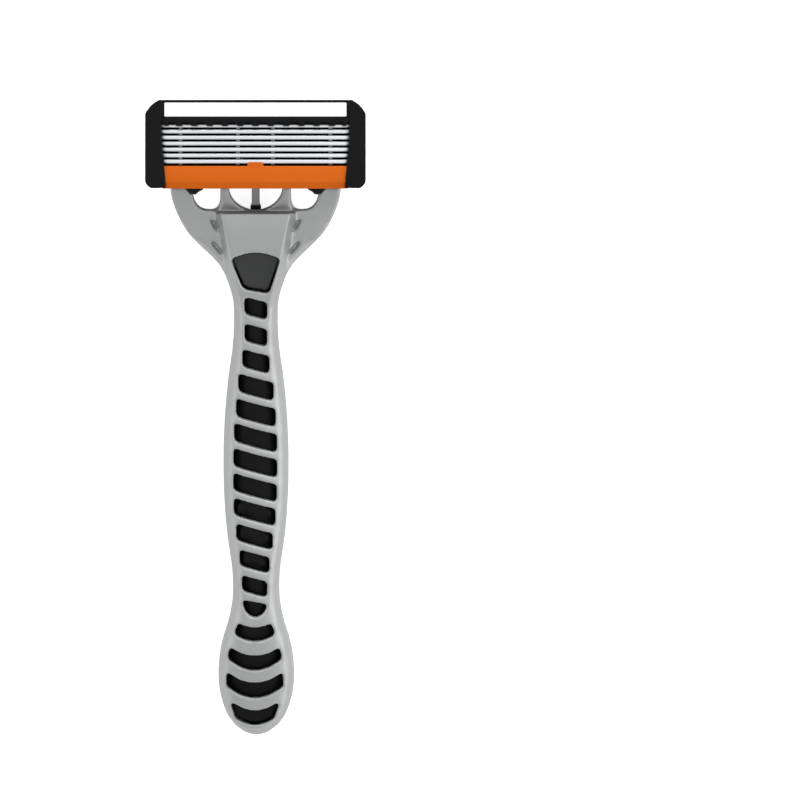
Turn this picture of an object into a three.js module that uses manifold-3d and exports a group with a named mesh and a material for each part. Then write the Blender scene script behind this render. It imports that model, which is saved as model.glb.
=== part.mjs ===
// Cartridge razor: a silver frame handle over a black grip, and a pivoting seven-blade cartridge.
// Millimetres. X is the width, +Y runs from the butt to the head, +Z is the shaving side.
// The razor lies on its back with the grip's two flat pads at z = 0.
import * as THREE from 'three';
import { mergeVertices, toCreasedNormals } from 'three/addons/utils/BufferGeometryUtils.js';
import { ConvexGeometry } from 'three/addons/geometries/ConvexGeometry.js';
import Module from 'manifold-3d';

const wasm = await Module();
wasm.setup();

// Handle shell
const buttEnd = -64.5;
const shellEnd = 42;
const wall = 1.5;
const gripGap = 0.3;
const gripEnd = 24.3;
const coverStart = 24.6;
const partingGap = 0.12;
const railWidth = 2.17;
const windowMiddles = [22.1, 16.74, 11.49, 6.37, 1.3, -3.67, -8.64, -13.52, -18.37, -23.29, -28.22, -33.19];
const windowHeights = [3.5, 3.45, 3.5, 3.6, 3.6, 3.6, 3.6, 3.5, 3.45, 3.35, 3.25, 3.2];
const windowSlant = 0.27;

// Yoke and neck block
const yokeThickness = 3.3;
const facetWidth = 1.35;
const mouldLean = 0.2126;
const blockEnd = 41.9;
const shoulder = 46.4;

// Cartridge
const cartridgeTilt = THREE.MathUtils.degToRad(18);
const cartridgeY = 48.05;
const cartridgeZ = 19;
const cartridgeHeight = 17.3;
const capOuter = 21.5;
const frameHalf = 19.6;
const frameTop = -0.8;
const frameBack = -5;
const capTop = 0.7;
const bladeCount = 7;
const bladePitch = 1.172;
const bladeHalf = 19.1;
const bladeWidth = 0.86;
const bladeAngle = THREE.MathUtils.degToRad(22);
const firstBlade = 4.92;
const spacerPlaces = [-14.6, -3.4, 3.4, 14.6];
const toothPitch = 3;

// Pivot, in the cartridge's own height and depth, and then in the razor's frame
const pivotUp = 6.5;
const pivotDepth = -6;
const pivotY = cartridgeY + pivotUp * Math.cos(cartridgeTilt) + pivotDepth * Math.sin(cartridgeTilt);
const pivotZ = cartridgeZ - pivotUp * Math.sin(cartridgeTilt) + pivotDepth * Math.cos(cartridgeTilt);
const trunnionRadius = 1.1;

// Mechanism
const plungerZ = 7.3;
const stemWidth = 1.55;
const ejectorBottom = 4.75;
const ejectorTop = 5.9;
const connectorBack = 46.9;

const silver = { color: 0xb4bab9, roughness: 0.42, metalness: 0.35 };
const blackRubber = { color: 0x141415, roughness: 0.5, metalness: 0 };
const blackGloss = { color: 0x101011, roughness: 0.25, metalness: 0 };
const blackMatte = { color: 0x1b1b1c, roughness: 0.6, metalness: 0 };
const buttonGrey = { color: 0x3a3d3d, roughness: 0.35, metalness: 0.1 };
const plungerGrey = { color: 0x9a9f9e, roughness: 0.45, metalness: 0 };
const steel = { color: 0xe6e9ea, roughness: 0.25, metalness: 0.9 };
const springSteel = { color: 0xa9adb0, roughness: 0.35, metalness: 0.9 };
const orangeRubber = { color: 0xdc712c, roughness: 0.55, metalness: 0 };
const whiteStrip = { color: 0xf6f6f4, roughness: 0.5, metalness: 0 };

const razor = new THREE.Group();
razor.name = 'cartridge_razor';

// Turns a closed geometry into a solid that can be joined and cut.
function solid(geometry) {
  const bare = geometry.clone();
  bare.deleteAttribute('normal');
  bare.deleteAttribute('uv');
  const merged = mergeVertices(bare, 1e-4);
  const corners = merged.index.array;
  const kept = [];
  for (let i = 0; i < corners.length; i += 3) {
    const [a, b, c] = [corners[i], corners[i + 1], corners[i + 2]];
    if (a !== b && b !== c && c !== a) kept.push(a, b, c);
  }
  return new wasm.Manifold(new wasm.Mesh({
    numProp: 3,
    vertProperties: merged.attributes.position.array,
    triVerts: new Uint32Array(kept),
  }));
}

function join(...solids) {
  return solids.reduce((sum, next) => sum.add(next));
}

function addPart(name, body, finish) {
  const mesh = body.getMesh();
  const geometry = new THREE.BufferGeometry();
  geometry.setAttribute('position', new THREE.BufferAttribute(new Float32Array(mesh.vertProperties), 3));
  geometry.setIndex(new THREE.BufferAttribute(new Uint32Array(mesh.triVerts), 1));
  const part = new THREE.Mesh(toCreasedNormals(geometry, 0.6), new THREE.MeshStandardMaterial(finish));
  part.name = name;
  razor.add(part);
}

function box(x0, x1, y0, y1, z0, z1) {
  const geometry = new THREE.BoxGeometry(x1 - x0, y1 - y0, z1 - z0);
  return geometry.translate((x0 + x1) / 2, (y0 + y1) / 2, (z0 + z1) / 2);
}

function polygon(points) {
  return new THREE.Shape(points.map(([x, y]) => new THREE.Vector2(x, y)));
}

// A plan outline with rounded corners, one radius for all of them.
function rounded(points, radius) {
  const corners = points.map(([x, y]) => new THREE.Vector2(x, y));
  const shape = new THREE.Shape();
  corners.forEach((corner, i) => {
    const before = corners[(i + corners.length - 1) % corners.length];
    const after = corners[(i + 1) % corners.length];
    const start = corner.clone().add(before.clone().sub(corner).setLength(radius));
    const end = corner.clone().add(after.clone().sub(corner).setLength(radius));
    if (i === 0) shape.moveTo(start.x, start.y);
    else shape.lineTo(start.x, start.y);
    shape.quadraticCurveTo(corner.x, corner.y, end.x, end.y);
  });
  shape.closePath();
  return shape;
}

// A plan outline raised from z0 to z1.
function raise(shape, z0, z1, curveSegments = 4) {
  const geometry = new THREE.ExtrudeGeometry(shape, { depth: z1 - z0, bevelEnabled: false, curveSegments });
  return geometry.translate(0, 0, z0);
}

// A side outline, drawn in Y and Z, drawn out from x0 to x1.
function across(shape, x0, x1, curveSegments = 6) {
  const geometry = new THREE.ExtrudeGeometry(shape, { depth: x1 - x0, bevelEnabled: false, curveSegments });
  const turn = new THREE.Matrix4().makeBasis(
    new THREE.Vector3(0, 1, 0),
    new THREE.Vector3(0, 0, 1),
    new THREE.Vector3(1, 0, 0),
  );
  return geometry.applyMatrix4(turn).translate(x0, 0, 0);
}

function rod(radius, y0, y1, x, z, sides = 16) {
  return new THREE.CylinderGeometry(radius, radius, y1 - y0, sides).translate(x, (y0 + y1) / 2, z);
}

function pin(radius, x0, x1, y, z, sides = 20) {
  const geometry = new THREE.CylinderGeometry(radius, radius, Math.abs(x1 - x0), sides);
  return geometry.rotateZ(Math.PI / 2).translate((x0 + x1) / 2, y, z);
}

// Slopes a geometry so that its height grows with Y from the given place.
function slope(geometry, rise, fromY) {
  const place = geometry.attributes.position;
  for (let i = 0; i < place.count; i++) {
    place.setZ(i, place.getZ(i) + rise * (place.getY(i) - fromY));
  }
  return geometry;
}

// A smooth line through [y, value] pairs.
function along(pairs) {
  const places = new Float32Array(pairs.map((pair) => pair[0]));
  const values = new Float32Array(pairs.map((pair) => pair[1]));
  const line = new THREE.CubicInterpolant(places, values, 1);
  return (y) => line.evaluate(THREE.MathUtils.clamp(y, places[0], places[places.length - 1]))[0];
}

// Handle outline seen from above: half-width and Y, from the butt to the end of the shell.
const outline = new THREE.SplineCurve([
  [0, buttEnd], [1.5, -64.2], [3.6, -63], [5.7, -60.4], [7.1, -56.2], [7.5, -51.8],
  [6.85, -45.8], [5.45, -41], [4.65, -36.4], [4.75, -30.5], [5.75, -23.5], [6.4, -14],
  [6.3, -3], [5.5, 6.8], [4.6, 13.3], [4.3, 18.5], [4.5, 23.2], [5.5, 26.6],
  [6.7, 30], [7.4, 35], [8, shellEnd],
].map(([x, y]) => new THREE.Vector2(x, y)));

const frontHeight = along([
  [-64.5, 5.6], [-56, 7.6], [-44, 10], [-32, 11], [-12, 10.8], [10, 9.8], [24, 9.5], [34, 8.8], [42, 9],
]);
const backHeight = along([
  [-64.5, 1.6], [-58, -0.1], [-51, -0.4], [-44, -0.1], [-34, 0.7], [-18, 1.1], [-4, 0.6],
  [4, -0.1], [10, -0.4], [16, -0.1], [22, 0.9], [30, 2.1], [42, 3],
]);
const partingHeight = along([[-66, 3.3], [-44, 3.6], [-20, 4.7], [0, 4.2], [22, 3.9], [30, 4.2], [44, 4.4]]);

// Stations along the handle, moved inwards by the inset, for a loft.
function stations(inset, count, lastY, lowest) {
  const list = [];
  for (let i = 0; i <= count; i++) {
    const place = outline.getPointAt(i / count);
    const heading = outline.getTangentAt(i / count);
    const half = i === 0 ? 0 : place.x - inset * heading.y;
    const y = place.y + inset * (i === 0 ? 1 : heading.x);
    if (half < 0 || y > lastY) continue;
    const roundness = Math.sqrt(1 - (1 - Math.min(1, half / (5.2 - inset))) ** 2);
    const front = frontHeight(y) - inset;
    const back = lowest ?? backHeight(y);
    const middle = (frontHeight(y) + backHeight(y)) / 2;
    list.push({
      half,
      y,
      middle,
      front: middle + (front - middle) * roundness,
      back: middle + (back - middle) * roundness,
    });
  }
  return list;
}

// A loft of rounded sections. Sections with a square back have straight sides below the middle.
function loft(list, sides, squareBack = false) {
  const geometry = new THREE.CylinderGeometry(1, 1, 1, sides, list.length - 1);
  const place = geometry.attributes.position;
  for (let i = 0; i < place.count; i++) {
    const row = Math.round((0.5 + place.getY(i)) * (list.length - 1));
    const { half, y, middle, front, back } = list[row];
    const [side, up] = [place.getX(i), place.getZ(i)];
    const power = up < -1e-6 && squareBack ? 0.25 : 0.78;
    const reach = up > 0 ? front - middle : middle - back;
    place.setXYZ(
      i,
      half * Math.sign(side) * Math.abs(side) ** power,
      y,
      middle + reach * Math.sign(up) * Math.abs(up) ** power,
    );
  }
  return geometry;
}

// Everything above or below the line where the silver shell meets the black grip.
function beyondParting(direction, y0, y1) {
  const far = direction > 0 ? 30 : -10;
  const points = [[y0, far]];
  const steps = 10;
  for (let i = 0; i <= steps; i++) {
    const y = y0 + (y1 - y0) * i / steps;
    points.push([y, partingHeight(y) + direction * partingGap]);
  }
  points.push([y1, far]);
  if (direction > 0) points.reverse();
  return solid(across(polygon(points), -30, 30));
}

const shellBlank = solid(loft(stations(0, 46, 50), 24));
const shellEndCut = polygon([[50, -5], [38.7, -5], [41.6, 8.8], [41.6, 20], [50, 20]]);
const shell = shellBlank.subtract(solid(across(shellEndCut, -30, 30)));

// ---- Handle frame: silver shell, yoke plate and neck block in one moulding ----
// The yoke's openings and the shell's end lean with the mould's draw direction.
const plateFront = (y) => 8.1 + 0.075 * (y - 26);

function yokePlate() {
  const shape = new THREE.Shape();
  const side = new THREE.SplineCurve([
    [4.2, 24], [5.4, 27], [7, 30.6], [10.3, 34], [13.3, 37.2], [15.3, 40.9], [16.4, 44.2], [16.7, shoulder],
  ].map(([x, y]) => new THREE.Vector2(x, y))).getPoints(14);
  const inner = new THREE.CubicBezierCurve(
    new THREE.Vector2(12.4, shoulder),
    new THREE.Vector2(12.3, 42.9),
    new THREE.Vector2(11, 41.85),
    new THREE.Vector2(8.6, 41.85),
  ).getPoints(6);
  const prong = new THREE.QuadraticBezierCurve(
    new THREE.Vector2(8.6, 41.85),
    new THREE.Vector2(7, 41.9),
    new THREE.Vector2(6.9, 43.4),
  ).getPoints(3);
  const bay = new THREE.EllipseCurve(0, shoulder, 5.25, 4.5, 0, -Math.PI, true).getPoints(16);
  const right = [...side, ...inner, ...prong, new THREE.Vector2(6.9, shoulder)];
  const left = right.map((point) => new THREE.Vector2(-point.x, point.y)).reverse();
  shape.setFromPoints([...right, ...bay, ...left]);
  const bevel = 0.45;
  const geometry = new THREE.ExtrudeGeometry(shape, {
    depth: yokeThickness - 2 * bevel,
    bevelThickness: bevel,
    bevelSize: bevel,
    bevelOffset: -bevel,
    bevelSegments: 2,
  });
  const place = geometry.attributes.position;
  for (let i = 0; i < place.count; i++) {
    place.setY(i, place.getY(i) + mouldLean * (place.getZ(i) - yokeThickness + bevel));
  }
  return slope(geometry.translate(0, 0, plateFront(26) - yokeThickness + bevel), 0.075, 26);
}

// The raised block over the mechanism, a faceted wedge that widens towards the head.
function neckBlock() {
  const points = [];
  const crown = [[23, 9.4], [27, 10.8], [34, 12.3], [38.2, 13.05], [40.4, 13], [blockEnd, 12.5]];
  const lean = (front, z) => 0.24 * (front - z);
  for (const [y, front] of crown) {
    const half = 4.8 + 0.205 * (y - 32.6);
    const foot = plateFront(y) - 0.2;
    for (const side of [-1, 1]) {
      points.push(new THREE.Vector3(side * half, y, front));
      points.push(new THREE.Vector3(side * (half + facetWidth), y - lean(front, foot), foot));
      points.push(new THREE.Vector3(side * (half + facetWidth), y - lean(front, 6.8), 6.8));
    }
  }
  return new ConvexGeometry(points);
}

function tongues() {
  const list = [];
  for (const side of [-1, 1]) {
    for (const [near, far, tip] of [[12.6, 15.2, 51.2], [5.3, 6.7, 50.2]]) {
      const shape = rounded([
        [side * near, 45.6], [side * far, 45.6], [side * far, tip], [side * near, tip],
      ], 0.5);
      list.push(solid(raise(shape, 6.5, 9.1, 2)));
    }
  }
  return list;
}

// Slanted windows down the handle, each as wide as the shell less its two rails.
function slantedWindow(i) {
  const middle = windowMiddles[i];
  const height = windowHeights[i];
  const half = halfWidthAt(middle) - railWidth;
  const lift = windowSlant * half;
  const [left, right] = [windowDrift(middle) - half, windowDrift(middle) + half];
  return rounded([
    [left, middle + lift - height / 2],
    [right, middle - lift - height / 2],
    [right, middle - lift + height / 2],
    [left, middle + lift + height / 2],
  ], 0.6);
}

// The row of windows runs slightly towards the left rail in the lower half of the handle.
function windowDrift(y) {
  return -0.3 * THREE.MathUtils.smoothstep(-y, -5, 25);
}

function halfWidthAt(y) {
  const points = outline.getPoints(200);
  return points.reduce((best, point) => (Math.abs(point.y - y) < Math.abs(best.y - y) ? point : best)).x;
}

// A smile-shaped window: both long edges sag towards the butt. Each edge is given by its half-width,
// the height of its ends and the height of its middle.
function smileWindow([topHalf, topEnds, topMiddle], [bottomHalf, bottomEnds, bottomMiddle], inset = 0) {
  const shape = new THREE.Shape();
  const soft = 0.55;
  const shift = windowDrift(topEnds);
  const [top, bottom] = [topHalf - inset, bottomHalf - inset];
  const [topY, topSag] = [topEnds - inset, topMiddle - inset];
  const [bottomY, bottomSag] = [bottomEnds + inset, bottomMiddle + inset];
  shape.moveTo(shift - top + soft, topY);
  shape.quadraticCurveTo(shift, 2 * topSag - topY, shift + top - soft, topY);
  shape.quadraticCurveTo(shift + top, topY + 0.1, shift + top, topY - soft);
  shape.lineTo(shift + bottom, bottomY + soft);
  shape.quadraticCurveTo(shift + bottom, bottomY, shift + bottom - soft, bottomY - 0.3);
  shape.quadraticCurveTo(shift, 2 * bottomSag - bottomY + 0.3, shift - bottom + soft, bottomY - 0.3);
  shape.quadraticCurveTo(shift - bottom, bottomY, shift - bottom, bottomY + soft);
  shape.lineTo(shift - top, topY - soft);
  shape.quadraticCurveTo(shift - top, topY + 0.1, shift - top + soft, topY);
  return shape;
}

const lastWindow = [[4.65, -57.5, -58.9], [3.95, -60.7, -62]];

function windows() {
  const shapes = [];
  windowMiddles.forEach((middle, i) => shapes.push(slantedWindow(i)));
  const halfMoon = new THREE.Shape();
  halfMoon.moveTo(-2.2, -36);
  halfMoon.lineTo(1.6, -36.7);
  halfMoon.quadraticCurveTo(2.2, -36.9, 2, -37.7);
  halfMoon.quadraticCurveTo(1.2, -39.4, -0.2, -39.4);
  halfMoon.quadraticCurveTo(-1.9, -39.3, -2.5, -37.2);
  halfMoon.quadraticCurveTo(-2.8, -36, -2.2, -36);
  shapes.push(halfMoon);
  shapes.push(smileWindow([3.45, -40.9, -41.5], [3.9, -43.2, -44.4]));
  shapes.push(smileWindow([5, -46, -47.4], [5.25, -48.4, -50.5]));
  shapes.push(smileWindow([5.5, -51.3, -53.1], [5.6, -54.1, -56.3]));
  shapes.push(smileWindow(...lastWindow));
  return join(...shapes.map((shape, i) => solid(raise(shape, 2.5, 20, i < windowMiddles.length ? 2 : 5))));
}

const buttonOpening = (inset) => {
  const shape = new THREE.Shape();
  shape.moveTo(-2.7 + inset, 26.7 + inset);
  shape.quadraticCurveTo(-2.3 + inset, 26.2 + inset, -1.6, 25.95 + inset);
  shape.lineTo(1.6, 25.35 + inset);
  shape.quadraticCurveTo(2.6 - inset, 25.1 + inset, 2.85 - inset, 26 + inset);
  shape.lineTo(4.6 - inset, 31.6);
  shape.quadraticCurveTo(4.8 - inset, 32.6 - inset, 3.9 - inset, 32.9 - inset);
  shape.quadraticCurveTo(0, 34.6 - inset, -3.9 + inset, 32.9 - inset);
  shape.quadraticCurveTo(-4.8 + inset, 32.6 - inset, -4.6 + inset, 31.6);
  shape.closePath();
  return shape;
};

// The room inside the block for the button, the plunger and the ejector.
function mechanismRoom() {
  const plan = solid(raise(polygon([
    [-3.2, 25.1], [3.2, 25.1], [4.5, 32], [4.5, 39.6], [-4.5, 39.6], [-4.5, 32],
  ]), 0, 14));
  const section = solid(across(polygon([[24, 0], [40, 0], [40, 11.3], [33, 10.7], [24, 8.6]]), -6, 6));
  return join(
    plan.intersect(section),
    solid(box(-7.05, 7.05, 35.9, 43, 3, 6.1)),
    solid(rod(1.35, 39, 41, 0, plungerZ)),
    solid(box(-1.25, 1.25, 40, 43, plungerZ - 1.2, plungerZ + 1.2)),
    solid(raise(buttonOpening(0), 7.6, 20)),
  );
}

// Four lens-shaped grip notches beside the block.
function gills() {
  const list = [];
  for (const side of [-1, 1]) {
    for (const [x0, y0, x1, y1] of [[8.9, 40.1, 7, 37.2], [8.95, 35.9, 5.9, 32]]) {
      const length = Math.hypot(x1 - x0, y1 - y0);
      const lens = new THREE.SphereGeometry(1, 14, 8).scale(0.4, length / 2 + 0.25, 1.5);
      const middle = (y0 + y1) / 2;
      lens.rotateZ(side * Math.atan2(x1 - x0, y0 - y1));
      list.push(solid(lens.translate(side * (x0 + x1) / 2, middle, plateFront(middle) + 0.2)));
    }
  }
  return list;
}

const behind = (y) => solid(box(-30, 30, -80, y, -20, 30));
const gripRoom = solid(loft(stations(wall, 36, gripEnd + 5, -5), 20, true)).intersect(behind(gripEnd + 0.3));
const frameSolid = join(
  shell,
  solid(yokePlate()),
  solid(neckBlock()),
).intersect(beyondParting(1, -66, 48))
  .subtract(gripRoom)
  .subtract(windows())
  .subtract(mechanismRoom())
  .subtract(join(...gills()));
addPart('handle_frame', join(frameSolid, ...tongues()), silver);

// ---- Grip insert: black, fills the shell from behind and shows through its windows ----
const gripCore = solid(loft(stations(wall + gripGap, 36, gripEnd + 5, 2.4), 20, true)).intersect(behind(gripEnd));
const gripBack = shell.intersect(beyondParting(-1, -66, gripEnd)).intersect(behind(gripEnd));
const coreRelief = [8, 9, 10].flatMap((i) => {
  const middle = windowMiddles[i];
  const half = halfWidthAt(middle) - railWidth;
  const level = frontHeight(middle) - wall - gripGap;
  return [
    solid(box(-half + 0.35, -half + 1.45, middle - 0.7, middle + 1.5, level - 1.6, level - 0.05)),
    solid(box(-half + 2.2, -half + 3.8, middle - 0.5, middle + 0.9, level - 1.6, level + 0.25)),
    solid(box(half - 2.1, half - 0.9, middle - 1.2, middle + 0.2, level - 1.6, level + 0.1)),
  ];
});
const lastPad = solid(raise(smileWindow(...lastWindow, 0.25), 3, 4.9, 5));
const floorCut = solid(box(-30, 30, -70, 70, -9, 0));
addPart('grip_insert', join(gripCore, gripBack, lastPad, ...coreRelief).subtract(floorCut), blackRubber);

// ---- Neck cover: closes the mechanism room and holds the plunger spring's seat ----
const coverTray = shell
  .intersect(beyondParting(-1, coverStart, 42))
  .subtract(behind(coverStart))
  .subtract(floorCut);
const springSeat = solid(box(-1.6, 1.6, 27.1, 28.3, 3.6, 8.2)).subtract(solid(rod(0.8, 27, 28.4, 0, plungerZ)));
addPart('neck_cover', join(coverTray, springSeat), blackMatte);

// ---- Plunger bush in the block's end wall, with a small trapezoid nose ----
const bushNose = rounded([[-1.05, 41.3], [1.05, 41.3], [1.05, 42], [0.85, 42.5], [-0.85, 42.5], [-1.05, 42]], 0.15);
const bushBody = join(
  solid(rod(1.2, 39.8, 41.4, 0, plungerZ, 20)),
  solid(raise(bushNose, plungerZ - 1, plungerZ + 1, 2)),
);
const stemRoom = box(-stemWidth / 2 - 0.1, stemWidth / 2 + 0.1, 39, 43, plungerZ - 0.85, plungerZ + 0.85);
addPart('plunger_bush', bushBody.subtract(solid(stemRoom)), blackGloss);

// ---- Springs: wire coils round the plunger's tail and beside it ----
class Coil extends THREE.Curve {
  constructor(radius, turns, y0, y1, x, z) {
    super();
    Object.assign(this, { radius, turns, y0, y1, x, z });
  }

  getPoint(t, target = new THREE.Vector3()) {
    const angle = t * this.turns * 2 * Math.PI;
    const climb = this.y0 + (this.y1 - this.y0) * t;
    return target.set(
      this.x + this.radius * Math.cos(angle),
      climb,
      this.z + this.radius * Math.sin(angle),
    );
  }
}

function coilSpring(coil, wire, steps) {
  const corners = [0, 1, 2, 3, 4].map((i) => [wire * Math.cos(i * 0.4 * Math.PI), wire * Math.sin(i * 0.4 * Math.PI)]);
  return new THREE.ExtrudeGeometry(polygon(corners), { steps, extrudePath: coil, bevelEnabled: false });
}

addPart(
  'plunger_spring',
  solid(coilSpring(new Coil(0.95, 6, 28.45, 33.85, 0, plungerZ), 0.13, 72)),
  springSteel,
);
addPart(
  'button_spring',
  solid(coilSpring(new Coil(0.6, 5.5, 33.45, 39.4, 3.1, 7.4), 0.12, 66)),
  springSteel,
);

// ---- Release button: a recessed thumb pad on two legs that carry the ejector ----
const padShape = buttonOpening(0.25);
const padBlank = new THREE.ExtrudeGeometry(padShape, {
  depth: 0.6,
  bevelThickness: 0.15,
  bevelSize: 0.15,
  bevelOffset: -0.15,
  bevelSegments: 1,
  curveSegments: 5,
});
const padPlace = padBlank.attributes.position;
for (let i = 0; i < padPlace.count; i++) {
  const up = padPlace.getY(i) - 25.4;
  padPlace.setZ(i, padPlace.getZ(i) + 8.2 + 0.27 * up - 0.014 * up * up);
}
const pad = solid(padBlank);
const buttonLegs = [-1, 1].map((side) => {
  const [near, far] = [side * 2.4, side * 3.85];
  return solid(box(Math.min(near, far), Math.max(near, far), 30.4, 33.2, ejectorTop + 0.1, 9.4));
});
addPart('release_button', join(pad, ...buttonLegs), buttonGrey);

// ---- Ejector: a flat fork behind the yoke whose tips push the connector off ----
const forkPlan = polygon([
  [-4.2, 30.2], [4.2, 30.2], [4.2, 36.2], [6.8, 36.2], [6.8, 43.4], [5.2, 43.4], [5.2, 38.2],
  [-5.2, 38.2], [-5.2, 43.4], [-6.8, 43.4], [-6.8, 36.2], [-4.2, 36.2],
]);
addPart('ejector', solid(raise(forkPlan, ejectorBottom, ejectorTop)), blackMatte);

// ---- Plunger: presses on the cartridge's cam and swings it back to rest ----
const camFace = pivotY - 1.2;
const plungerTip = camFace - 0.15;
const stem = rounded([
  [-stemWidth / 2, 35], [stemWidth / 2, 35], [stemWidth / 2, plungerTip], [-stemWidth / 2, plungerTip],
], 0.3);
const collar = solid(rod(1.2, 34, 35.2, 0, plungerZ, 20));
addPart('plunger', join(
  solid(raise(stem, plungerZ - 0.75, plungerZ + 0.75, 2)),
  collar,
  solid(rod(0.55, 29, 34.1, 0, plungerZ, 12)),
), plungerGrey);

// ---- Connector: black block behind the cartridge, slides on four tongues and carries the pivot ----
const connectorSide = polygon([
  [connectorBack, 4.7], [54.2, 4.7], [55, 5.6], [54.8, 8.3], [53.2, 11.1], [50.8, 11.8], [connectorBack, 10.6],
]);
const pockets = [];
for (const side of [-1, 1]) {
  for (const [near, far, end] of [[12.3, 15.5, 51.5], [5, 7, 50.5]]) {
    const [x0, x1] = side > 0 ? [near, far] : [-far, -near];
    pockets.push(solid(box(x0, x1, 46, end, 6.2, 9.4)));
  }
}
const camSlot = solid(box(-1.6, 1.6, 46, 56, 5.75, 13));
const trunnions = [-1, 1].map((side) => solid(pin(trunnionRadius, side * 15.6, side * 17.8, pivotY, pivotZ)));
const reliefs = [-1, 1].flatMap((side) => [8, 11.3].map((x) => {
  const [x0, x1] = side > 0 ? [x - 0.6, x + 0.6] : [-x - 0.6, -x + 0.6];
  return solid(box(x0, x1, 48, 53, 4, 5.6));
}));
const connectorBody = solid(across(connectorSide, -15.8, 15.8))
  .subtract(join(...pockets, camSlot, ...reliefs));
addPart('connector', join(connectorBody, ...trunnions), blackGloss);

// ---- Cartridge. Its pieces are drawn upright, then tilted and set in place together ----
// In its own frame X is the width, Y runs from the guard to the cap, and Z is the depth.
function place(geometry) {
  return solid(geometry.rotateX(-cartridgeTilt).translate(0, cartridgeY, cartridgeZ));
}

// Leans a lower wall back as it goes deeper, so that it comes out of the mould and hides under the guard.
function draft(geometry) {
  const place = geometry.attributes.position;
  for (let i = 0; i < place.count; i++) {
    const lean = place.getY(i) < 2 ? 0.14 * (capTop - place.getZ(i)) : 0;
    place.setY(i, place.getY(i) + lean);
  }
  return geometry;
}

function cartridgeFrame() {
  const wellBottom = 4.5;
  const wellTop = 12.95;
  const frame = [
    draft(box(-frameHalf, frameHalf, 0.3, wellBottom, frameBack, frameTop)),
    box(-frameHalf, frameHalf, wellTop, cartridgeHeight - 0.3, frameBack, frameTop),
  ];
  for (const side of [-1, 1]) {
    const [x0, x1] = side > 0 ? [19.2, frameHalf] : [-frameHalf, -19.2];
    const [w0, w1] = side > 0 ? [14.3, 19.4] : [-19.4, -14.3];
    const [s0, s1] = side > 0 ? [12.2, 13.7] : [-13.7, -12.2];
    frame.push(draft(box(x0, x1, 0.3, cartridgeHeight - 0.3, frameBack, frameTop)));
    frame.push(box(w0, w1, 4, 13.2, frameBack, -3.9));
    const [l0, l1] = side > 0 ? [16.1, 17.9] : [-17.9, -16.1];
    frame.push(pin(2.3, l0, l1, pivotUp, pivotDepth));
    frame.push(box(l0, l1, pivotUp - 2.3, pivotUp + 2.3, pivotDepth, frameBack + 0.4));
    const lug = polygon([
      [10.2, 1.4], [10.2, 0.1], [11, -0.3], [11.6, -0.85], [12.75, -0.85], [13.65, 0.1], [13.65, 1.4],
    ].map(([x, y]) => [side * x, y]));
    frame.push(raise(lug, -3.4, -1));
    frame.push(box(s0, s1, 1.1, 2.2, -7.9, -3.9));
  }
  for (const x of spacerPlaces) frame.push(box(x - 0.45, x + 0.45, 4, 13.2, frameBack, -3.45));
  frame.push(box(-14.5, 14.5, 4, 13.2, frameBack, -3.9));
  const holes = [-1, 1].map((side) => place(pin(trunnionRadius + 0.15, side * 15.5, side * 18.5, pivotUp, pivotDepth)));
  const cam = solid(box(-1.1, 1.1, pivotY - 1.2, pivotY + 1.2, 6.1, 12.6));
  return join(...frame.map(place), cam).subtract(join(...holes));
}
addPart('cartridge_frame', cartridgeFrame(), blackMatte);

const bezelPlate = place(box(-18.5, 18.5, 12.86, cartridgeHeight, frameTop + 0.1, 0.25));
const bezelRecess = place(box(-17.8, 17.8, 13.94, 16.8, -0.25, 1));
const teeth = [];
for (let i = -6; i <= 6; i++) {
  const outer = Math.abs(i) === 6;
  const shift = outer ? -Math.sign(i) * 0.55 : 0;
  const half = outer ? 0.5 : 0.78;
  const tooth = polygon([[-half, 13.1], [-half * 0.75, 12.38], [half * 0.75, 12.38], [half, 13.1]]);
  teeth.push(place(raise(tooth, -0.05, 0.25).translate(i * toothPitch + shift, 0, 0)));
}
addPart('strip_bezel', join(bezelPlate.subtract(bezelRecess), ...teeth), blackGloss);

const stripShape = rounded([[-17.74, 14], [17.74, 14], [17.74, 16.74], [-17.74, 16.74]], 0.25);
addPart('lube_strip', place(raise(stripShape, -0.2, 0.5)), whiteStrip);

// Guard: a soft orange bar with a sloping lower lip and a small centre tab.
const guardSide = polygon([[0.05, -0.7], [4.35, -0.7], [4.35, 0.2], [4, 0.35], [1.15, 0.35], [-0.05, -0.25]]);
const guardTab = rounded([[-1.7, 4], [1.7, 4], [1.4, 5.1], [-1.4, 5.1]], 0.25);
addPart('guard_pad', join(
  place(across(guardSide, -18.1, 18.1)),
  place(raise(guardTab, 0.06, 0.3)),
), orangeRubber);

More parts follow.
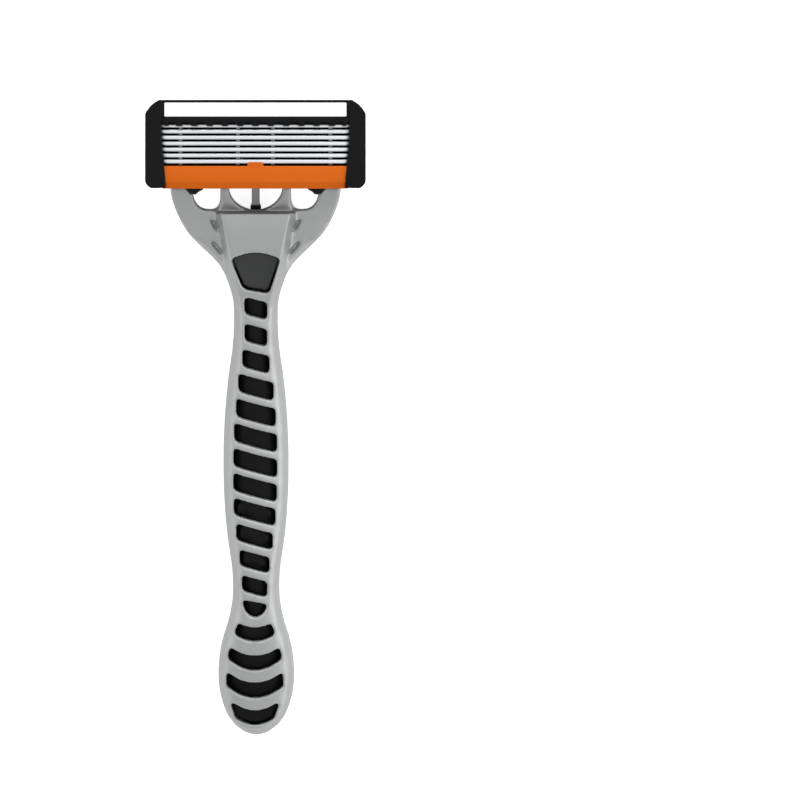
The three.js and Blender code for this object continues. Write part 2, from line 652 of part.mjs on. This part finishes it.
// End caps: glossy clips that wrap the cartridge's ends and keep the blades in. Their lips lie over
// the ends of the bezel, the blades and the guard.
function endCap(side) {
  const top = 2.7;
  const bottom = 1.3;
  const shape = new THREE.Shape();
  shape.moveTo(17.35, -0.1);
  shape.lineTo(capOuter - bottom, -0.1);
  shape.quadraticCurveTo(capOuter - 0.3, 0.2, capOuter, bottom);
  shape.lineTo(capOuter, cartridgeHeight - top);
  shape.quadraticCurveTo(capOuter - 0.9, cartridgeHeight - 0.9, capOuter - top, cartridgeHeight);
  shape.lineTo(17.85, cartridgeHeight);
  shape.bezierCurveTo(19.1, 12, 17.5, 4.5, 17.35, -0.1);
  const bevel = 0.25;
  const geometry = draft(new THREE.ExtrudeGeometry(shape, {
    depth: capTop - frameBack - 2 * bevel,
    bevelThickness: bevel,
    bevelSize: bevel,
    bevelOffset: -bevel,
    bevelSegments: 2,
    curveSegments: 6,
  }).translate(0, 0, frameBack + bevel));
  const blank = solid(geometry);
  const hollow = solid(draft(box(10, frameHalf + 0.2, 0.25, cartridgeHeight - 0.25, -6, 0.4)));
  const mouth = solid(box(10, 18.6, -1, 20, -6, 0.4));
  const lips = solid(box(10, 30, -1, 1.6, -6, -4.2)).add(solid(box(10, 30, 16.5, 20, -6, -4.2)));
  let cap = blank.subtract(hollow).subtract(mouth).subtract(lips);
  if (side < 0) cap = cap.mirror([1, 0, 0]);
  return cap.rotate([THREE.MathUtils.radToDeg(-cartridgeTilt), 0, 0]).translate([0, cartridgeY, cartridgeZ]);
}
addPart('end_cap_left', endCap(-1), blackGloss);
addPart('end_cap_right', endCap(1), blackGloss);

// Blades and their bent supports, drawn from the cutting edge backwards along the blade's slope.
for (let i = 0; i < bladeCount; i++) {
  const edge = firstBlade + i * bladePitch;
  const [run, fall] = [Math.cos(bladeAngle), Math.sin(bladeAngle)];
  const at = (back, up) => [edge + back * run + up * fall, -0.05 - back * fall + up * run];
  const bladeSide = polygon([at(0, -0.05), at(0.3, -0.1), at(bladeWidth, -0.1), at(bladeWidth, 0), at(0.3, 0)]);
  addPart(`blade_${i + 1}`, place(across(bladeSide, -bladeHalf, bladeHalf)), steel);
  const heel = at(bladeWidth, -0.15);
  const inner = at(bladeWidth - 0.16, -0.3);
  const supportSide = polygon([
    at(0.3, -0.3), [inner[0], inner[1]], [inner[0], -2.9], [heel[0], -2.9], heel, at(0.3, -0.15),
  ]);
  addPart(`blade_support_${i + 1}`, place(across(supportSide, -18.6, 18.6)), springSteel);
}

// Spacers: slotted combs that hold the supports at an even pitch.
spacerPlaces.forEach((x, i) => {
  let comb = solid(box(x - 0.35, x + 0.35, 4.75, 12.92, -3.35, -0.85));
  for (let k = 0; k < bladeCount; k++) {
    const heel = firstBlade + k * bladePitch + bladeWidth * Math.cos(bladeAngle) - 0.15 * Math.sin(bladeAngle);
    comb = comb.subtract(solid(box(x - 1, x + 1, heel - 0.3, heel + 0.12, -3, 0)));
  }
  comb = comb.rotate([THREE.MathUtils.radToDeg(-cartridgeTilt), 0, 0]).translate([0, cartridgeY, cartridgeZ]);
  addPart(`blade_spacer_${i + 1}`, comb, plungerGrey);
});

export default razor;
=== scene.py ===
import math

import bmesh
import bpy
from mathutils import Matrix, Vector


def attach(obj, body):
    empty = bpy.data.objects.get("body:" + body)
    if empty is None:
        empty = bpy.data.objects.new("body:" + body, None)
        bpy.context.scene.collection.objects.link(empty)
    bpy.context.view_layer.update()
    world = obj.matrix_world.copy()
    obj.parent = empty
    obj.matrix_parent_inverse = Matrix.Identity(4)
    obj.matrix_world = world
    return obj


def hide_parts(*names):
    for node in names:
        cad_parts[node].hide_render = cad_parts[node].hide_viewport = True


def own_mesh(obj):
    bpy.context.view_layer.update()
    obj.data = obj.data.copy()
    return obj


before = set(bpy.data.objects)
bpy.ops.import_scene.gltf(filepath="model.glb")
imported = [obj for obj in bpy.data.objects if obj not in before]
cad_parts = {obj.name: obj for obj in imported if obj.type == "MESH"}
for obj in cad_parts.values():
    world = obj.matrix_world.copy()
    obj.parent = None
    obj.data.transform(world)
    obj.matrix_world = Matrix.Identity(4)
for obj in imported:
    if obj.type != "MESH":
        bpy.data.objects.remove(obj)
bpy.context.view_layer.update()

mm = 0.001


# ---- Studio ----
# A white seamless sheet, lit through from below like a light table, inside a tent of soft light.
# The razor lies on its back, and the view has its head at the top, left of the middle.
paper_white = 0.9
paper_glow = 0.7
floor_half_size = 2


def object_from(shape, name):
    """Turns a finished bmesh into a new object in the scene."""
    mesh = bpy.data.meshes.new(name)
    shape.to_mesh(mesh)
    shape.free()
    piece = bpy.data.objects.new(name, mesh)
    bpy.context.scene.collection.objects.link(piece)
    return piece


sheet = bmesh.new()
bmesh.ops.create_grid(sheet, x_segments=2, y_segments=2, size=floor_half_size)
floor = object_from(sheet, "studio_floor")
paper = bpy.data.materials.new("studio_paper")
paper.use_nodes = True
paper_nodes, paper_links = paper.node_tree.nodes, paper.node_tree.links
paper_shader = paper_nodes["Principled BSDF"]
paper_shader.inputs["Base Color"].default_value = (paper_white, paper_white, paper_white, 1)
paper_shader.inputs["Roughness"].default_value = 0.9
paper_shader.inputs["Specular IOR Level"].default_value = 0.1
paper_shader.inputs["Emission Color"].default_value = (1, 1, 1, 1)
# The sheet glows only where it is seen directly, so that the glow lights nothing.
seen_straight = paper_nodes.new("ShaderNodeLightPath")
glow = paper_nodes.new("ShaderNodeMath")
glow.operation = "MULTIPLY"
glow.inputs[1].default_value = paper_glow
paper_links.new(seen_straight.outputs["Is Camera Ray"], glow.inputs[0])
paper_links.new(glow.outputs[0], paper_shader.inputs["Emission Strength"])
floor.data.materials.append(paper)

# The tent is brightest low down, all round. It is brighter towards the head and the right.
low_height, low_brightness = 0.15, 2.0
high_height, high_brightness = 0.6, 1.0
right_gain = 0.2
head_gain = 0.45
world = bpy.data.worlds.new("studio_tent")
world.use_nodes = True
tent, tent_links = world.node_tree.nodes, world.node_tree.links
sight = tent.new("ShaderNodeTexCoord")
sides = tent.new("ShaderNodeSeparateXYZ")
walls = tent.new("ShaderNodeMapRange")
walls.interpolation_type = "SMOOTHSTEP"
walls.inputs["From Min"].default_value = low_height
walls.inputs["From Max"].default_value = high_height
walls.inputs["To Min"].default_value = low_brightness
walls.inputs["To Max"].default_value = high_brightness
right = tent.new("ShaderNodeMath")
right.operation = "MULTIPLY_ADD"
right.inputs[1].default_value = right_gain
right.inputs[2].default_value = 1.0
head = tent.new("ShaderNodeMath")
head.operation = "MULTIPLY_ADD"
head.inputs[1].default_value = head_gain
level = tent.new("ShaderNodeMath")
level.operation = "MULTIPLY"
tent_links.new(sight.outputs["Generated"], sides.inputs["Vector"])
tent_links.new(sides.outputs["Z"], walls.inputs["Value"])
tent_links.new(sides.outputs["X"], right.inputs[0])
tent_links.new(sides.outputs["Y"], head.inputs[0])
tent_links.new(right.outputs[0], head.inputs[2])
tent_links.new(walls.outputs["Result"], level.inputs[0])
tent_links.new(head.outputs[0], level.inputs[1])
tent_links.new(level.outputs[0], tent["Background"].inputs["Strength"])
tent["Background"].inputs["Color"].default_value = (1, 1, 1, 1)
bpy.context.scene.world = world
bpy.context.scene.view_settings.view_transform = "Standard"

# A long lens, leaning a little towards the head, keeps the razor's sides nearly parallel.
lens_data = bpy.data.cameras.new("studio_camera")
lens_data.lens = 1200
lens_data.sensor_width = 36
lens_data.clip_end = 20
camera = bpy.data.objects.new("studio_camera", lens_data)
lean = math.radians(12)
seen_width = 156.25 * mm
distance = seen_width * lens_data.lens / lens_data.sensor_width
aim = Vector((28.15 * mm, 4.0 * mm, 10 * mm))
back = Vector((0, math.sin(lean), math.cos(lean)))
camera.location = aim + distance * back
up = Vector((0, math.cos(lean), -math.sin(lean)))
camera.rotation_euler = Matrix((Vector((1, 0, 0)), up, back)).transposed().to_euler()
bpy.context.scene.collection.objects.link(camera)
bpy.context.scene.camera = camera


# ---- Handle frame ----
# The silver-grey shell, yoke and neck block are one injection moulding with a satin metallic coat.
# Its windows and corners come out of the tool with soft rims, which catch the light.
def merged_copy(node, name):
    """A new object with a CAD node's shape, its corners joined."""
    joining_distance = 2e-6
    shape = bmesh.new()
    shape.from_mesh(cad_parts[node].data)
    bmesh.ops.remove_doubles(shape, verts=shape.verts, dist=joining_distance)
    return object_from(shape, name)


def apply_modifiers(piece):
    bpy.context.view_layer.update()
    evaluated = piece.evaluated_get(bpy.context.evaluated_depsgraph_get())
    mesh = bpy.data.meshes.new_from_object(evaluated)
    mesh.name = piece.name
    piece.modifiers.clear()
    piece.data = mesh


def soften(shape, verts, rounds):
    for _ in range(rounds):
        bmesh.ops.smooth_vert(
            shape, verts=verts, factor=0.5, use_axis_x=True, use_axis_y=True, use_axis_z=True
        )


def mould(piece, grain, broad_rounds):
    """Turns a faceted piece into an evenly meshed moulding.

    Broad faces are smoothed over many rounds, and rims are only rounded.
    """
    rim_angle = math.radians(28)
    rim_margin = 2
    rim_rounds = 2
    remesh = piece.modifiers.new("even_mesh", "REMESH")
    remesh.mode = "VOXEL"
    remesh.voxel_size = grain
    apply_modifiers(piece)
    shape = bmesh.new()
    shape.from_mesh(piece.data)
    rims = set()
    for edge in shape.edges:
        if edge.calc_face_angle(0) > rim_angle:
            rims.update(edge.verts)
    for _ in range(rim_margin):
        rims.update([edge.other_vert(vert) for vert in list(rims) for edge in vert.link_edges])
    broad = [vert for vert in shape.verts if vert not in rims]
    soften(shape, broad, broad_rounds)
    soften(shape, shape.verts, rim_rounds)
    for face in shape.faces:
        face.smooth = True
    shape.to_mesh(piece.data)
    shape.free()


def stand_in(piece, node, body, material):
    """Gives a piece its material and puts it in the place of a CAD node, on that node's body."""
    piece.data.materials.clear()
    piece.data.materials.append(material)
    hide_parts(node)
    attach(piece, body)


# A Mix node's colour sockets share their names with its other sockets, so they go by number.
mix_from, mix_to, mix_result = 6, 7, 2


def moulded_skin_group():
    """Even colour with a faint mottle, a little roughness variation and a fine texture height."""
    group = bpy.data.node_groups.new("moulded_skin", "ShaderNodeTree")
    face = group.interface
    face.new_socket(name="Light", in_out="INPUT", socket_type="NodeSocketColor")
    face.new_socket(name="Dark", in_out="INPUT", socket_type="NodeSocketColor")
    for name in ("Grain Size", "Smoothest", "Roughest"):
        face.new_socket(name=name, in_out="INPUT", socket_type="NodeSocketFloat")
    face.new_socket(name="Color", in_out="OUTPUT", socket_type="NodeSocketColor")
    face.new_socket(name="Roughness", in_out="OUTPUT", socket_type="NodeSocketFloat")
    face.new_socket(name="Height", in_out="OUTPUT", socket_type="NodeSocketFloat")
    nodes, links = group.nodes, group.links
    given = nodes.new("NodeGroupInput")
    result = nodes.new("NodeGroupOutput")
    place = nodes.new("ShaderNodeTexCoord")
    cloud = nodes.new("ShaderNodeTexNoise")
    cloud.inputs["Scale"].default_value = 160
    cloud.inputs["Detail"].default_value = 3
    grain = nodes.new("ShaderNodeTexNoise")
    grain.inputs["Detail"].default_value = 4
    grain.inputs["Roughness"].default_value = 0.6
    blend = nodes.new("ShaderNodeMix")
    blend.data_type = "RGBA"
    spread = nodes.new("ShaderNodeMapRange")
    links.new(place.outputs["Object"], cloud.inputs["Vector"])
    links.new(place.outputs["Object"], grain.inputs["Vector"])
    links.new(given.outputs["Grain Size"], grain.inputs["Scale"])
    links.new(cloud.outputs["Fac"], blend.inputs["Factor"])
    links.new(given.outputs["Dark"], blend.inputs[mix_from])
    links.new(given.outputs["Light"], blend.inputs[mix_to])
    links.new(grain.outputs["Fac"], spread.inputs["Value"])
    links.new(given.outputs["Smoothest"], spread.inputs["To Min"])
    links.new(given.outputs["Roughest"], spread.inputs["To Max"])
    links.new(blend.outputs[mix_result], result.inputs["Color"])
    links.new(spread.outputs["Result"], result.inputs["Roughness"])
    links.new(grain.outputs["Fac"], result.inputs["Height"])
    return group


moulded_skin = moulded_skin_group()


def moulded_material(
    name, light, dark, roughness, grain_size=2600, relief=0.000004, **shader_values
):
    """A moulded surface, from the two colours it mottles between and its roughness range.

    The relief is the depth of its texture, in metres.
    """
    material = bpy.data.materials.new(name)
    material.use_nodes = True
    nodes, links = material.node_tree.nodes, material.node_tree.links
    shader = nodes["Principled BSDF"]
    for key, value in shader_values.items():
        shader.inputs[key.replace("_", " ")].default_value = value
    skin = nodes.new("ShaderNodeGroup")
    skin.node_tree = moulded_skin
    skin.inputs["Light"].default_value = (*light, 1)
    skin.inputs["Dark"].default_value = (*dark, 1)
    skin.inputs["Grain Size"].default_value = grain_size
    skin.inputs["Smoothest"].default_value = roughness[0]
    skin.inputs["Roughest"].default_value = roughness[1]
    bump = nodes.new("ShaderNodeBump")
    bump.inputs["Strength"].default_value = 0.6
    bump.inputs["Distance"].default_value = relief
    links.new(skin.outputs["Color"], shader.inputs["Base Color"])
    links.new(skin.outputs["Roughness"], shader.inputs["Roughness"])
    links.new(skin.outputs["Height"], bump.inputs["Height"])
    links.new(bump.outputs["Normal"], shader.inputs["Normal"])
    return material


satin_silver = moulded_material(
    "satin_silver", (0.4, 0.41, 0.406), (0.37, 0.38, 0.376), (0.26, 0.36),
    Metallic=0.5,
)
shell = merged_copy("handle_frame", "handle_shell")
mould(shell, grain=0.3 * mm, broad_rounds=60)
stand_in(shell, "handle_frame", "handle", satin_silver)


# ---- Grip insert ----
# A black elastomer core, pressed into the shell from behind. It shows through the windows and
# forms the razor's whole back.
black_rubber = moulded_material(
    "black_rubber", (0.006, 0.006, 0.0065), (0.003, 0.003, 0.0035), (0.3, 0.45), relief=0.000008,
    Specular_IOR_Level=0.12,
)
grip = merged_copy("grip_insert", "grip_core")
mould(grip, grain=0.3 * mm, broad_rounds=50)
stand_in(grip, "grip_insert", "handle", black_rubber)


# ---- Neck cover and bush ----
# The cover is a moulded black plate that closes the mechanism from behind. The bush is a gloss black
# collar pressed into the block's end wall, which the plunger's stem slides through.
def edged_copy(node, name, width, segments=3):
    """A CAD node's shape with its flat faces cleaned up and its edges rounded."""
    flat_angle = math.radians(1.5)
    edge_angle = math.radians(25)
    crease_angle = math.radians(35)
    piece = merged_copy(node, name)
    shape = bmesh.new()
    shape.from_mesh(piece.data)
    bmesh.ops.dissolve_limit(
        shape, angle_limit=flat_angle, verts=shape.verts, edges=shape.edges
    )
    sharp = [edge for edge in shape.edges if edge.calc_face_angle(0) > edge_angle]
    bmesh.ops.bevel(
        shape, geom=sharp, offset=width, offset_type="OFFSET", affect="EDGES",
        segments=segments, profile=0.5, material=-1, clamp_overlap=True,
    )
    for face in shape.faces:
        face.smooth = True
    shape.to_mesh(piece.data)
    shape.free()
    piece.data.set_sharp_from_angle(angle=crease_angle)
    return piece


black_matte = moulded_material(
    "black_matte", (0.006, 0.006, 0.0065), (0.004, 0.004, 0.0045), (0.45, 0.6), relief=0.000008,
    Specular_IOR_Level=0.12,
)
black_gloss = moulded_material(
    "black_gloss", (0.004, 0.004, 0.0045), (0.002, 0.002, 0.0025), (0.2, 0.28), relief=0.000002,
    Specular_IOR_Level=0.1,
)
cover = merged_copy("neck_cover", "neck_cover_plate")
mould(cover, grain=0.2 * mm, broad_rounds=30)
stand_in(cover, "neck_cover", "handle", black_matte)
bush = edged_copy("plunger_bush", "plunger_bush_collar", 0.08 * mm)
stand_in(bush, "plunger_bush", "handle", black_gloss)


# ---- Release button and ejector ----
# The button is a recessed dark thumb pad, moulded with two legs. The legs push a flat black fork,
# the ejector, whose tips drive the cartridge's connector off the yoke.
button_grey = moulded_material(
    "button_grey", (0.045, 0.047, 0.046), (0.036, 0.038, 0.037), (0.25, 0.35), Metallic=0.5,
)
button = merged_copy("release_button", "thumb_button")
mould(button, grain=0.12 * mm, broad_rounds=20)
stand_in(button, "release_button", "release", button_grey)
fork = edged_copy("ejector", "ejector_fork", 0.15 * mm)
stand_in(fork, "ejector", "release", black_matte)


# ---- Plunger and springs ----
# The grey plunger presses on the cartridge's cam. Round its tail is a coil of spring wire, and a
# smaller coil beside it returns the button.
even_grain = (3000, 3000, 3000)
grain_along_x = (60, 4000, 4000)


def metal_material(name, light, dark, roughness, grain):
    """Bare metal, with an even grain or with one drawn out along X by rolling and grinding."""
    material = bpy.data.materials.new(name)
    material.use_nodes = True
    nodes, links = material.node_tree.nodes, material.node_tree.links
    shader = nodes["Principled BSDF"]
    shader.inputs["Metallic"].default_value = 1
    place = nodes.new("ShaderNodeTexCoord")
    stretch = nodes.new("ShaderNodeMapping")
    stretch.inputs["Scale"].default_value = grain
    lines = nodes.new("ShaderNodeTexNoise")
    lines.inputs["Scale"].default_value = 1
    lines.inputs["Detail"].default_value = 5
    colours = nodes.new("ShaderNodeMix")
    colours.data_type = "RGBA"
    colours.inputs[mix_from].default_value = (*dark, 1)
    colours.inputs[mix_to].default_value = (*light, 1)
    spread = nodes.new("ShaderNodeMapRange")
    spread.inputs["To Min"].default_value = roughness[0]
    spread.inputs["To Max"].default_value = roughness[1]
    links.new(place.outputs["Object"], stretch.inputs["Vector"])
    links.new(stretch.outputs["Vector"], lines.inputs["Vector"])
    links.new(lines.outputs["Fac"], colours.inputs["Factor"])
    links.new(lines.outputs["Fac"], spread.inputs["Value"])
    links.new(colours.outputs[mix_result], shader.inputs["Base Color"])
    links.new(spread.outputs["Result"], shader.inputs["Roughness"])
    return material


def coil(name, centre, radius, wire, turns, start, end):
    """A spring along Y, wound by turning a wire's round section about its axis as it climbs."""
    wire_sides = 10
    steps = turns * 28
    x, z = centre
    shape = bmesh.new()
    bmesh.ops.create_circle(
        shape, cap_ends=True, radius=wire, segments=wire_sides,
        matrix=Matrix.Translation((x + radius, start, z)),
    )
    bmesh.ops.spin(
        shape, geom=shape.faces[:], cent=(x, start, z), axis=(0, -1, 0),
        dvec=(0, (end - start) / steps, 0), angle=2 * math.pi * turns, steps=steps,
        use_duplicate=False,
    )
    bmesh.ops.remove_doubles(shape, verts=shape.verts, dist=1e-7)
    bmesh.ops.recalc_face_normals(shape, faces=shape.faces)
    for face in shape.faces:
        face.smooth = len(face.verts) == 4
    return object_from(shape, name)


plunger_grey = moulded_material(
    "plunger_grey", (0.36, 0.375, 0.37), (0.31, 0.325, 0.32), (0.35, 0.48),
)
spring_steel = metal_material(
    "spring_steel", (0.5, 0.51, 0.52), (0.36, 0.37, 0.38), (0.25, 0.42), even_grain,
)
plunger = edged_copy("plunger", "plunger_stem", 0.12 * mm)
stand_in(plunger, "plunger", "plunger", plunger_grey)
main_coil = coil(
    "plunger_coil", centre=(0, 7.3 * mm), radius=0.69 * mm, wire=0.1 * mm,
    turns=6, start=28.5 * mm, end=33.8 * mm,
)
stand_in(main_coil, "plunger_spring", "handle", spring_steel)
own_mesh(main_coil)
side_coil = coil(
    "button_coil", centre=(3.1 * mm, 7.4 * mm), radius=0.6 * mm, wire=0.12 * mm,
    turns=5, start=33.5 * mm, end=39.3 * mm,
)
stand_in(side_coil, "button_spring", "handle", spring_steel)
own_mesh(side_coil)


# ---- Connector and cartridge body ----
# Both are black mouldings. The connector slides onto the yoke's four tongues, and the cartridge's
# body swings on its two trunnions.
connector = edged_copy("connector", "connector_block", 0.15 * mm)
stand_in(connector, "connector", "connector", black_gloss)
body = edged_copy("cartridge_frame", "cartridge_body", 0.12 * mm)
stand_in(body, "cartridge_frame", "cartridge", black_matte)


# ---- Comb bezel and strip ----
# A gloss black surround with a row of comb teeth, snapped over the body's cap side. It holds a wide
# white moulded strip with a faintly chalky surface.
bezel = edged_copy("strip_bezel", "comb_bezel", 0.06 * mm)
stand_in(bezel, "strip_bezel", "cartridge", black_gloss)
white_strip = moulded_material(
    "white_strip", (0.82, 0.82, 0.81), (0.79, 0.79, 0.78), (0.42, 0.55), grain_size=1500,
    relief=0.000006,
)
strip = edged_copy("lube_strip", "white_strip_bar", 0.2 * mm, segments=4)
stand_in(strip, "lube_strip", "cartridge", white_strip)


# ---- Guard ----
# A soft orange elastomer bar along the cartridge's lower edge, moulded over the body. Its lip slopes
# away from the blades, and a small tab stands at its centre.
orange_rubber = moulded_material(
    "orange_rubber", (0.55, 0.105, 0.003), (0.5, 0.094, 0.002), (0.5, 0.62), relief=0.000006,
    Specular_IOR_Level=0.12,
)
guard = edged_copy("guard_pad", "guard_bar", 0.14 * mm)
stand_in(guard, "guard_pad", "cartridge", orange_rubber)


# ---- End caps ----
# Gloss black clips, pressed over the cartridge's ends. They hold the blades' ends down, and their
# outer corners are well rounded.
for side in ("left", "right"):
    cap = merged_copy(f"end_cap_{side}", f"end_clip_{side}")
    mould(cap, grain=0.13 * mm, broad_rounds=12)
    stand_in(cap, f"end_cap_{side}", "cartridge", black_gloss)


# ---- Blades ----
# Seven strips of stainless steel with ground edges, each on a bent steel support. The supports are
# coloured near black as painted shade for the gaps between the blades. They stand in four slotted
# combs, which show as light marks between the blades.
blade_count = 7
comb_count = 4
steel = metal_material(
    "steel", (0.48, 0.49, 0.505), (0.38, 0.39, 0.405), (0.26, 0.4), grain_along_x,
)
# Painted shade: the supports' steel is darkened to near black so that the gaps between the blades
# read dark.
painted_shade_support_steel = metal_material(
    "painted_shade_support_steel", (0.07, 0.072, 0.075), (0.045, 0.047, 0.05), (0.3, 0.45), grain_along_x,
)
for number in range(1, blade_count + 1):
    blade = edged_copy(f"blade_{number}", f"razor_blade_{number}", 0.015 * mm, segments=2)
    stand_in(blade, f"blade_{number}", "cartridge", steel)
    support = edged_copy(f"blade_support_{number}", f"bent_support_{number}", 0.03 * mm, segments=2)
    stand_in(support, f"blade_support_{number}", "cartridge", painted_shade_support_steel)
for number in range(1, comb_count + 1):
    comb = edged_copy(f"blade_spacer_{number}", f"spacer_comb_{number}", 0.04 * mm, segments=2)
    stand_in(comb, f"blade_spacer_{number}", "cartridge", plunger_grey)
